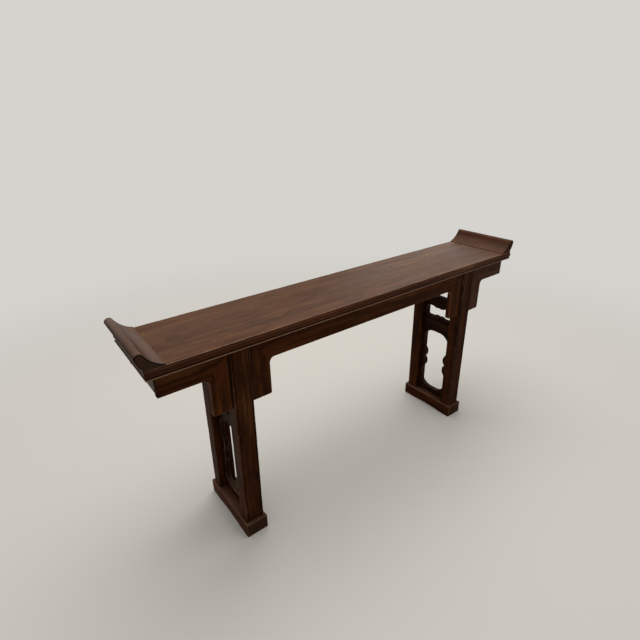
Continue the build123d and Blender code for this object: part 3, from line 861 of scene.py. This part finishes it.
def flange_rows():
    """Corner rows of the flange in X and Z from its outer foot up, over the scroll and down to the seam.

    The sweep is a circle that passes the seam and touches the scroll's circle from outside.
    """
    s = sizes("top")
    scroll = np.array([end_high.x - s.scroll_radius, end_high.z - s.scroll_radius])
    seam = np.array([seam_x + s.seam, top_z + s.flange_step])
    across = scroll - seam
    apart = np.linalg.norm(across)
    reach = s.hollow_radius + s.scroll_radius
    along = (s.hollow_radius**2 - reach**2 + apart**2) / (2 * apart)
    off = math.sqrt(s.hollow_radius**2 - along**2)
    unit = across / apart
    hollow = seam + along * unit + off * np.array([-unit[1], unit[0]])
    touch = scroll + s.scroll_radius * (hollow - scroll) / reach
    middle = (seam + touch) / 2 - hollow
    low = hollow + s.hollow_radius * middle / np.linalg.norm(middle)
    tip, crown = scroll + [s.scroll_radius, 0], scroll + [0, s.scroll_radius]
    neck = np.array([half_length + s.neck_slope, top_z + s.neck_height])
    foot = neck + [s.scroll_foot, s.scroll_foot / 2]
    neck_round, foot_round, seam_round = 0.0008, 0.001, 0.0006
    over = corner_rows(arc(tip, crown, touch, 19))
    over[13:18, 3] = 0.7    # the inner shoulder of the scroll: wear, and painted highlight
    return np.concatenate([
        corner_rows(neck, neck_round), corner_rows(foot, foot_round, 0.4),
        over[:-1], corner_rows(arc(touch, low, seam, 17)[:-1]), corner_rows(seam, seam_round, 0.5),
        corner_rows([seam[0], top_z]),
    ])


class ALTAR_OT_top_ends(AltarOperator):
    """End pieces: the flange and its frame member, carried across the table.

    Above the flat of the top the outline reaches to the flange's ends, which are rounded over.
    Below it the outline stops at the mitres with the rails.
    """

    bl_idname = "altar.top_ends"
    bl_label = "Top ends"

    def execute(self, context):
        s, joint = sizes("top"), sizes("boards").joint
        end_radius, deepest = 2 * sizes("boards").arris, 0.0003
        end_wear = {-1: -0.7, 1: 0.6}    # the left flange's ends are darkened and the right one's rubbed
        rise, run = half_depth - seam_y, half_length - seam_x
        lower = corner_rows([seam_x + s.seam, rail_z]), moulded_edge(half_length, 0.0)[:-1]
        shape = outline(np.concatenate([*lower, corner_rows([half_length, top_z]), flange_rows()]))
        above = shape.points[:, 1] > top_z - 1e-9

        heights, insets, _ = rounded(end_radius, 5)
        clear = 0.012    # share of the reach that keeps the middle rings off the rounded ends
        middle, ends = np.linspace(-1, 1, 41), np.ones(len(heights))
        amount = np.concatenate([insets, 0 * middle, insets[::-1]])
        back = np.concatenate([heights, 0 * middle, heights[::-1]])
        across = np.concatenate([-ends, middle * (1 - clear), ends])
        on_round = (amount > 0) & (amount < end_radius + band)
        room = 0.8 * np.maximum(0, shape.points[:, 1] - top_z)    # nothing sinks to the flat of the top

        flange_reach = half_depth - s.arris_set_in
        rail_edge = moulded_edge(half_depth, s.arris_set_in)
        rail_reach = np.interp(shape.points[:, 1], rail_edge[:, 1], rail_edge[:, 0])
        corner_x = seam_x + (flange_reach - seam_y) * run / rise
        corners = np.array([
            (seam_x + s.seam, seam_y, top_z),
            (corner_x, flange_reach, top_z), (corner_x, flange_reach, top_z - s.edge_fillet),
        ])
        for number, (name, side) in enumerate(sides):
            low_spots = np.maximum(0, ripple(across * half_depth, 15 + number))
            sink = np.maximum(shape.wear, 0) * low_spots[:, None] * deepest
            rings = inset(shape, np.minimum(amount[:, None] + sink, room))
            x, z = rings[..., 0], rings[..., 1]
            mitre = seam_y + (x - seam_x) * rise / run - joint / 2
            reach = np.where(above, flange_reach - back[:, None], np.minimum(mitre, rail_reach))
            points = np.stack([side * x, across[:, None] * reach, z], -1)
            wear = np.where(on_round[:, None] & above, end_wear[side], shape.wear * (amount == 0)[:, None])
            both_sides = np.concatenate([corners * (side, -1, 1), corners * (side, 1, 1)])
            piece = end_piece(f"end_{name}", points, wear, above, both_sides)
            finish_piece(piece, 11 + number, "flange wood", f"top_end_{name}")
        return {"FINISHED"}


def end_piece(name, points, wear, above, corners):
    """Closes an end piece at both sides: the flange's end, the seam and lap, the fillet and the mitre.

    The three corners of each side are the lap's inner corner, the mitre's outer corner on the lap and
    the one below it, under the fillet.
    """
    height, count = points.shape[:2]
    faces = skin(points)
    high = np.flatnonzero(above)
    first, last = int(high[0]), int(high[-1])
    for ring, extra in ((0, height * count), (height - 1, height * count + 3)):
        start = ring * count
        foot, seam = start + first, start + last
        inner, outer, under = range(extra, extra + 3)
        faces += [
            (start + high).tolist(), [seam, seam + 1, inner], [seam, inner, outer, foot],
            [foot - 1, foot, outer, under],
            [*range(start, foot), under, outer, inner, *range(seam + 1, start + count)],
        ]
    points = np.concatenate([points.reshape(-1, 3), corners])
    return new_piece(name, points, faces, np.concatenate([wear.ravel(), np.zeros(6)]))


class ALTAR_OT_top_panel(AltarOperator):
    """Panel of the top: its plan carried down, with softened upper arrises and a tongue all round."""

    bl_idname = "altar.top_panel"
    bl_label = "Top panel"

    def execute(self, context):
        s = sizes("top")
        low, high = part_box("top_panel")
        x, y = seam_x - s.seam, seam_y - s.seam
        tongue, tongue_top, corner = high.x - seam_x + s.seam, 0.006, (0.002, 0)
        shape = rectangle(-x, -y, x, y, corner, corner)
        heights, insets, _ = rounded(s.seam_arris)
        depth = np.concatenate([heights, [tongue_top, tongue_top, top_z - low.z]])
        rings = inset(shape, np.concatenate([insets, [0, -tongue, -tongue]])[:, None])
        heights = np.broadcast_to((top_z - depth)[:, None, None], (*rings.shape[:2], 1))
        piece = capped("panel_top", np.concatenate([rings, heights], -1), np.zeros(rings.shape[:2]))
        finish_piece(piece, 4, "top board", "top_panel")
        return {"FINISHED"}


class ALTAR_OT_battens(AltarOperator):
    """Battens under the panel: the packed nodes, in bare aged wood."""

    bl_idname = "altar.battens"
    bl_label = "Battens"

    def execute(self, context):
        for name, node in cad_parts.items():
            if name.startswith("batten"):
                clad(node.data, "underside")
        return {"FINISHED"}


# ---------------------------------------------------------------- aprons and spandrels
def apron_shape():
    """Front view of a long apron with its spandrels, in X and Z."""
    s = sizes("boards")
    low, wing, high, end = apron_z, spandrel_low.z, apron_high.z, apron_high.x
    inner, outer = spandrel_low.x + s.inner_corner, spandrel_high.x - s.inner_corner
    right = [
        (inner, low, s.inner_corner, 1), (inner, wing, s.lower_corner, 1),
        (outer, wing, s.lower_corner, 1), (outer, low, s.inner_corner, 1),
        (end, low, s.arris, 1), (end, high, 0, 0),
    ]
    return outline([(-x, *rest) for x, *rest in reversed(right)] + right)


def wedge(side, grow, y0, y1):
    """A cutting block over one spandrel's mitres, grown by half a joint.

    Each mitre is the line from the leg's side at the top of the apron to the corner between apron and
    spandrel, drawn on at both ends.
    """
    corner, half = sizes("boards").inner_corner, leg_width / 2
    inner, outer = spandrel_low.x + corner, spandrel_high.x - corner
    low, high, bottom = apron_z, apron_high.z, spandrel_low.z
    run_in = (leg_top_x - half - inner) / (high - low)
    run_out = (outer - leg_top_x - half) / (high - low)
    drop, rise = 0.036, 0.004
    left, right = inner - run_in * drop - grow, outer + run_out * drop + grow
    shape = outline(corner_rows([
        (left, low - drop), (left, bottom - drop), (right, bottom - drop), (right, low - drop),
        (leg_top_x + half - run_out * rise + grow, high + rise),
        (leg_top_x - half + run_in * rise - grow, high + rise),
    ]))
    rings, wear = prism(shape, y0, y1)
    points = along_y(rings)
    points[..., 0] *= side
    return capped("tool", points, wear)


def apron_board(name, seed):
    """The whole silhouette of apron and spandrels as one softened board at the front."""
    s = sizes("boards")
    rings, wear = prism(apron_shape(), apron_low.y, apron_high.y, (s.arris, s.arris), seed)
    at_end = np.abs(rings[..., 0]) > apron_high.x - 2 * s.arris
    wear = np.where(at_end, 0.6 * grimy_and_shaded * (wear > 0), wear)    # darkened where the end aprons meet it
    return capped(name, along_y(rings), wear)


class ALTAR_OT_aprons(AltarOperator):
    """Long aprons: the silhouette less the spandrels, half lapped behind their mitres."""

    bl_idname = "altar.aprons"
    bl_label = "Aprons"

    def execute(self, context):
        joint = sizes("boards").joint
        for number, (name, side) in enumerate(faces):
            piece = apron_board(f"apron_board_{name}", 31 + number)
            for _, end in sides:
                carve(piece, wedge(end, joint / 2, apron_low.y - beyond, apron_middle + joint / 2))
            carve(piece, block(
                (-half_length, apron_middle - joint, spandrel_low.z - beyond),
                (half_length, apron_high.y + beyond, apron_z),
            ))
            turn_to(piece, side)
            finish_piece(piece, 31 + number, "board along", f"apron_{name}")
        return {"FINISHED"}


class ALTAR_OT_spandrels(AltarOperator):
    """Spandrels: the silhouette within their mitres, half lapped over the apron."""

    bl_idname = "altar.spandrels"
    bl_label = "Spandrels"

    def execute(self, context):
        joint = sizes("boards").joint
        for number, (post, side, made_at) in enumerate(posts, 41):
            piece = apron_board(f"spandrel_board_{post}", number)
            tool = wedge(made_at, -joint / 2, apron_low.y - beyond, apron_middle)
            near, far = sorted((made_at * (spandrel_low.x - beyond), made_at * (spandrel_high.x + beyond)))
            lap = block(
                (near, apron_middle - joint / 2, spandrel_low.z - beyond),
                (far, apron_high.y + beyond, apron_z - joint / 2),
            )
            carve(tool, lap, "UNION")
            carve(piece, tool, "INTERSECT")
            turn_to(piece, side)
            finish_piece(piece, number, "board upright", f"spandrel_{post}")
        return {"FINISHED"}


class ALTAR_OT_end_aprons(AltarOperator):
    """Short end aprons between the long ones."""

    bl_idname = "altar.end_aprons"
    bl_label = "End aprons"

    def execute(self, context):
        low, high, worn = end_apron_low, end_apron_high, (sizes("boards").arris, 1)
        for number, (name, side) in enumerate(sides):
            x0, x1 = sorted((side * low.x, side * high.x))
            rings, wear = prism(rectangle(x0, low.z, x1, high.z, worn), low.y, high.y, seed=51 + number)
            piece = capped(f"end_apron_board_{name}", along_y(rings), wear)
            finish_piece(piece, 51 + number, "end board", f"end_apron_{name}")
        return {"FINISHED"}


# ---------------------------------------------------------------- trestles
def leg_shape():
    """Section of a leg about its centre, front at -Y: beads, grooves and a scooped field."""
    s = sizes("boards")
    x, y = leg_width / 2, leg_depth / 2
    inner = x - s.leg_bead
    middle, low = inner - s.leg_groove, inner - 2 * s.leg_groove
    # The grooves beside the beads are painted dark as shade.
    left = corner_rows(arc((-inner, -y), (-middle, -y + s.leg_groove), (-low, -y), 7), 0, grimy_and_shaded)
    right = corner_rows(arc((low, -y), (middle, -y + s.leg_groove), (inner, -y), 7), 0, grimy_and_shaded)
    field = corner_rows(arc((-low, -y), (0, -y + s.leg_hollow), (low, -y), 13)[1:-1])
    left[0, 2:] = right[-1, 2:] = 0.0005, 0.7    # the bead's arris: its radius and wear
    left[-1, 3] = right[0, 3] = 0.5
    return outline(np.concatenate([
        corner_rows([(x, y), (-x, y)], s.leg_corner, 0.7), corner_rows([-x, -y], s.leg_corner, 0.75),
        left, field, right, corner_rows([x, -y], s.leg_corner, 0.75),
    ]))


def lean(height):
    """How far the middle of a trestle has moved in at a height above the floor."""
    return leg_lean * (np.asarray(height) - foot_z) / (rail_z - foot_z)


class ALTAR_OT_legs(AltarOperator):
    """Legs: the section carried up with the lean, then slotted for the spandrels and the apron."""

    bl_idname = "altar.legs"
    bl_label = "Legs"

    def execute(self, context):
        joint = sizes("boards").joint
        shape = leg_shape()
        for number, (post, side, made_at) in enumerate(posts, 61):
            rings, wear = prism(shape, foot_z, rail_z, seed=number, step=0.012, unevenness=0.0005)
            across = rings[..., 0] + made_at * (foot_x - lean(rings[..., 2]))
            points = np.stack([across, rings[..., 1] + leg_y, rings[..., 2]], -1)
            piece = capped(f"leg_post_{post}", points, wear)
            carve(piece, block(
                (-half_length, apron_low.y, spandrel_low.z - joint),
                (half_length, apron_high.y + joint, rail_z + beyond),
            ))
            turn_to(piece, side)
            finish_piece(piece, number, "frame upright", f"leg_{post}")
        return {"FINISHED"}


class ALTAR_OT_feet(AltarOperator):
    """Feet: a section carried along Y, with its underside lifted into a shallow arch.

    The lift is a parabola along the foot, and fades to nothing at half the foot's height.
    """

    bl_idname = "altar.feet"
    bl_label = "Feet"

    def execute(self, context):
        s = sizes("boards")
        half_width, half_arch = (foot_high.x - foot_low.x) / 2, foot_high.y - s.foot_pad
        shape = rectangle(-half_width, 0, half_width, foot_z, (s.arris, 0.8), (s.foot_arris, 1))
        ends = (2 * s.arris, 2 * s.arris)
        for number, (name, side) in enumerate(sides, 71):
            rings, wear = prism(
                shape, foot_low.y, foot_high.y, ends, seed=number, step=0.008, unevenness=0.0008
            )
            arch = s.foot_arch * np.maximum(0, 1 - (rings[..., 2] / half_arch) ** 2)
            rings[..., 1] += arch * np.clip(1 - rings[..., 1] / (foot_z / 2), 0, 1)
            rings[..., 0] += side * foot_x
            piece = capped(f"sledge_foot_{name}", along_y(rings), wear)
            finish_piece(piece, number, "frame across", f"foot_{name}")
        return {"FINISHED"}


def bar_edges(node):
    """Heights of the underside and the top of a crossbar."""
    low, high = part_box(node)
    middle, half = (low.z + high.z) / 2, sizes("boards").bar_height / 2
    return middle - half, middle + half


class ALTAR_OT_crossbars(AltarOperator):
    """Crossbars between the legs, leaning with them."""

    bl_idname = "altar.crossbars"
    bl_label = "Crossbars"

    def execute(self, context):
        s = sizes("boards")
        half, reach, worn = s.bar_thickness / 2, -leg_high.y, (s.arris, 1)
        for number, level in enumerate(("upper", "middle")):
            for place, (name, side) in enumerate(sides):
                low, high = bar_edges(f"crossbar_{level}_{name}")
                seed = 81 + 2 * number + place
                rings, wear = prism(rectangle(-half, low, half, high, worn, worn), -reach, reach, seed=seed)
                rings[..., 0] += side * (foot_x - lean(rings[..., 1]))
                piece = capped(f"bar_{level}_{name}", along_y(rings), wear)
                finish_piece(piece, seed, "crossbar wood", f"crossbar_{level}_{name}")
        return {"FINISHED"}


def opening(long, wide, corner, shoulder, waist, nick, pitch):
    """Cartouche outline about its centre, anticlockwise, with its long side along b.

    A quarter runs from the nick over a cusp, whose circle passes the nick and touches the waist,
    along the opposite arc of the shoulder to the straight side, and round the corner.
    """
    half_pitch, bite = pitch / 2, (nick - waist) / 2
    cusp_radius = (half_pitch**2 + bite**2) / (2 * bite)
    cusp = np.array([waist / 2 + cusp_radius, half_pitch])
    reach = cusp_radius + shoulder
    middle_x = wide / 2 - shoulder
    middle = np.array([middle_x, half_pitch + math.sqrt(reach**2 - (cusp[0] - middle_x) ** 2)])
    leave = cusp + cusp_radius * (middle - cusp) / reach
    side = np.array([wide / 2, middle[1]])
    on_bend = 0.3    # an angle below the side at which the shoulder's arc is still on its way
    bend = middle + shoulder * np.array([math.cos(on_bend), -math.sin(on_bend)])
    quarter_rows = np.concatenate([
        corner_rows(arc((nick / 2, 0), (waist / 2, half_pitch), leave, 15)[1:]),
        corner_rows(arc(leave, bend, side, 9)[1:]),
        corner_rows([wide / 2, long / 2], corner),
    ])
    flip_a, flip_b = np.array([-1, 1, 1, 1]), np.array([1, -1, 1, 1])
    tip = corner_rows([nick / 2, 0])
    return outline(np.concatenate([
        tip, quarter_rows, (quarter_rows * flip_a)[::-1],
        tip * flip_a, quarter_rows * flip_a * flip_b, (quarter_rows * flip_b)[::-1],
    ]))


def pierced(name, hole, low, high, half_width, centre, side, seed):
    """A panel with a hole: rings from the panel's edge over one face, through the hole and back.

    Each ray from the hole's middle meets the hole's outline and the panel's edge. A ring is one of
    them, halfway between them, or the hole's outline moved out over its rounded arris.
    """
    arris, half = sizes("boards").arris, sizes("openings").panel_thickness / 2
    ray = hole.points / np.linalg.norm(hole.points, axis=1)[:, None]
    with np.errstate(divide="ignore"):
        to_side = half_width / np.abs(ray[:, 0])
        to_end = np.where(ray[:, 1] > 0, high - centre, centre - low) / np.abs(ray[:, 1])
    edge = ray * np.minimum(to_side, to_end)[:, None]
    for corner in [(x, z - centre) for z in (high, low) for x in (half_width, -half_width)]:
        edge[np.argmin(np.linalg.norm(edge - corner, axis=1))] = corner
    swell = arris * (1 + 0.3 * ripple(hole.station, seed))
    turn = np.linspace(0, math.pi / 2, 4)[:, None]
    outer = inset(hole, np.full((1, 1), -1.4 * arris - band))
    over = inset(hole, -swell * (1 - np.sin(turn)))
    face = np.concatenate([edge[None], (edge[None] + outer) / 2, outer, over])
    rings = np.concatenate([face, hole.points[None], face[::-1]])
    flat = np.full((3, len(edge)), -half)
    depth = np.concatenate([flat, swell * (1 - np.cos(turn)) - half])
    depth = np.concatenate([depth, 0 * depth[:1], -depth[::-1]])
    rubbed = 0.8    # wear of the arrises, whose four rings lie beside the three of a face
    wear = np.repeat([0, rubbed, 0, rubbed, 0], [3, 4, 1, 4, 3])[:, None] * np.ones(len(edge))
    height = rings[..., 1] + centre
    points = np.stack([side * (foot_x - lean(height)) + depth, rings[..., 0], height], -1)
    total, count = points.shape[:2]
    here, last = np.arange(count), (total - 1) * count
    ahead = np.roll(here, -1)
    rim = np.stack([here, ahead, ahead + last, here + last], -1).tolist()
    return new_piece(name, points, skin(points) + rim, wear)


class ALTAR_OT_side_panels(AltarOperator):
    """Pierced panels of the trestles."""

    bl_idname = "altar.side_panels"
    bl_label = "Side panels"

    def execute(self, context):
        o = sizes("openings")
        for number, (name, side) in enumerate(sides):
            middle_low, middle_high = bar_edges(f"crossbar_middle_{name}")
            upper_low, _ = bar_edges(f"crossbar_upper_{name}")
            sill, head = foot_z + o.lower_sill, middle_low - o.lower_head
            lower = opening(
                head - sill, o.lower_width, o.lower_corner, o.lower_shoulder,
                o.lower_waist, o.lower_nick, o.lower_pitch,
            )
            upper = opening(
                o.upper_length, upper_low - middle_high - 2 * o.upper_margin, o.upper_corner,
                o.upper_shoulder, o.upper_waist, o.upper_nick, o.upper_pitch,
            )
            upper = Outline(*(np.stack([-p[:, 1], p[:, 0]], 1) if p.ndim == 2 else p for p in upper))
            holes = {"lower": (lower, (sill + head) / 2), "upper": (upper, (middle_high + upper_low) / 2)}
            for place, (level, (hole, centre)) in enumerate(holes.items()):
                low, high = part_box(f"panel_{level}_{name}")
                seed = 91 + 2 * number + place
                piece = pierced(f"pierced_{level}_{name}", hole, low.z, high.z, high.y, centre, side, seed)
                finish_piece(piece, seed, "trestle panel", f"panel_{level}_{name}")
        return {"FINISHED"}


# ---------------------------------------------------------------- stage
def lamp(name, at, target, size, power, tint):
    """A square soft lamp that looks at a target."""
    data = bpy.data.lights.new(name, "AREA")
    data.shape, data.size, data.energy, data.color = "SQUARE", size, power, tint
    obj = bpy.data.objects.new(name, data)
    obj.location = at
    obj.rotation_euler = (Vector(target) - Vector(at)).to_track_quat("-Z", "Y").to_euler()
    bpy.context.scene.collection.objects.link(obj)


def floor_paint(look):
    """Matt floor that passes into the backdrop's colour, as the camera sees it, between two distances."""
    material = fresh("materials", "floor paint")
    tree = material.node_tree
    away = wire("ShaderNodeTexCoord", output="Object", tree=tree).length()
    seen = wire("ShaderNodeLightPath", output="Is Camera Ray", tree=tree)
    far = away.ease(look.floor_near, look.floor_far) * seen
    matt = wire("ShaderNodeBsdfDiffuse", {"Color": look.floor}, tree=tree)
    backdrop = wire("ShaderNodeEmission", {"Color": look.backdrop, "Strength": 1.0}, tree=tree)
    return put_on(material, wire("ShaderNodeMixShader", {0: far, 1: matt, 2: backdrop}))


def surroundings(look):
    """Plain backdrop for the camera, and a dimmer dome for the light: darker below, brighter above."""
    world = fresh("worlds", "surroundings")
    tree = world.node_tree
    seen = wire("ShaderNodeLightPath", output="Is Camera Ray", tree=tree)
    backdrop = wire("ShaderNodeBackground", {"Color": look.backdrop, "Strength": 1.0}, tree=tree)
    _, _, height = wire("ShaderNodeTexCoord", output="Generated", tree=tree).parts()
    below, above = 0.14, 0.72
    sky = height.ease(-0.1, 0.9, below, above)
    dome = wire("ShaderNodeBackground", {"Color": (1.0, 0.98, 0.95), "Strength": sky})
    mix = wire("ShaderNodeMixShader", {0: seen, 1: dome, 2: backdrop})
    return put_on(world, mix, "ShaderNodeOutputWorld")


class ALTAR_OT_stage(AltarOperator):
    """Floor, pale surroundings, soft lamps and camera."""

    bl_idname = "altar.stage"
    bl_label = "Stage"

    def execute(self, context):
        look, scene = sizes("stage"), context.scene
        half = 14.0    # of the floor's width
        ground = [(-half, -half, 0), (half, -half, 0), (half, half, 0), (-half, half, 0)]
        mesh = bpy.data.meshes.new("floor")
        mesh.from_pydata(ground, [], [(0, 1, 2, 3)])
        mesh.materials.append(floor_paint(look))
        floor = bpy.data.objects.new("floor", mesh)
        scene.collection.objects.link(floor)
        scene.world = surroundings(look)
        lamp(
            "ceiling lamp", at=(0.3, 0.5, 3.2), target=(0, 0, 0.7),
            size=2.6, power=62, tint=(1.0, 0.98, 0.95),
        )
        lamp(
            "back lamp", at=(3.7, 2.5, 2.1), target=(0.4, 0, 0.8),
            size=2.4, power=17, tint=(1.0, 0.98, 0.96),
        )

        data = bpy.data.cameras.new("camera")
        data.lens, data.sensor_width = look.lens, 36
        camera = bpy.data.objects.new("camera", data)
        turn = Matrix.Rotation(-look.heading, 4, "Z") @ Matrix.Rotation(math.pi / 2 - look.pitch, 4, "X")
        camera.matrix_world = Matrix.Translation(look.eye) @ turn @ Matrix.Rotation(look.roll, 4, "Z")
        scene.collection.objects.link(camera)
        scene.camera = camera
        scene.view_settings.view_transform = "Standard"
        return {"FINISHED"}


# ---------------------------------------------------------------- panel and registration
operators = (
    ALTAR_OT_top_panel, ALTAR_OT_top_rails, ALTAR_OT_top_ends, ALTAR_OT_battens,
    ALTAR_OT_aprons, ALTAR_OT_spandrels, ALTAR_OT_end_aprons, ALTAR_OT_legs,
    ALTAR_OT_feet, ALTAR_OT_crossbars, ALTAR_OT_side_panels, ALTAR_OT_stage,
)
settings = {
    "altar_top": AltarTopSizes, "altar_boards": AltarBoardSizes, "altar_openings": AltarOpeningSizes,
    "altar_finish": AltarFinish, "altar_stage": AltarStageLook,
}


class ALTAR_PT_table(bpy.types.Panel):
    """Sizes, colours and pieces of the altar table."""

    bl_idname = "ALTAR_PT_table"
    bl_label = "Altar table"
    bl_space_type = "VIEW_3D"
    bl_region_type = "UI"
    bl_category = "Altar table"

    def draw(self, context):
        for operator in operators:
            self.layout.operator(operator.bl_idname)
        for name, group_type in settings.items():
            box = self.layout.box()
            box.label(text=group_type.__doc__)
            for key in group_type.__annotations__:
                box.prop(getattr(context.scene, name), key)


def register():
    """Registers the settings, the operators and the panel."""
    for name, group_type in settings.items():
        bpy.utils.register_class(group_type)
        setattr(bpy.types.Scene, name, PointerProperty(type=group_type))
    for operator in (*operators, ALTAR_PT_table):
        bpy.utils.register_class(operator)


def unregister():
    """Takes back what register did."""
    for operator in reversed((*operators, ALTAR_PT_table)):
        bpy.utils.unregister_class(operator)
    for name, group_type in reversed(settings.items()):
        delattr(bpy.types.Scene, name)
        bpy.utils.unregister_class(group_type)


def main():
    """Builds the table and the stage."""
    register()
    for operator in operators:
        section, name = operator.bl_idname.split(".")
        getattr(getattr(bpy.ops, section), name)()


if __name__ == "__main__":
    main()
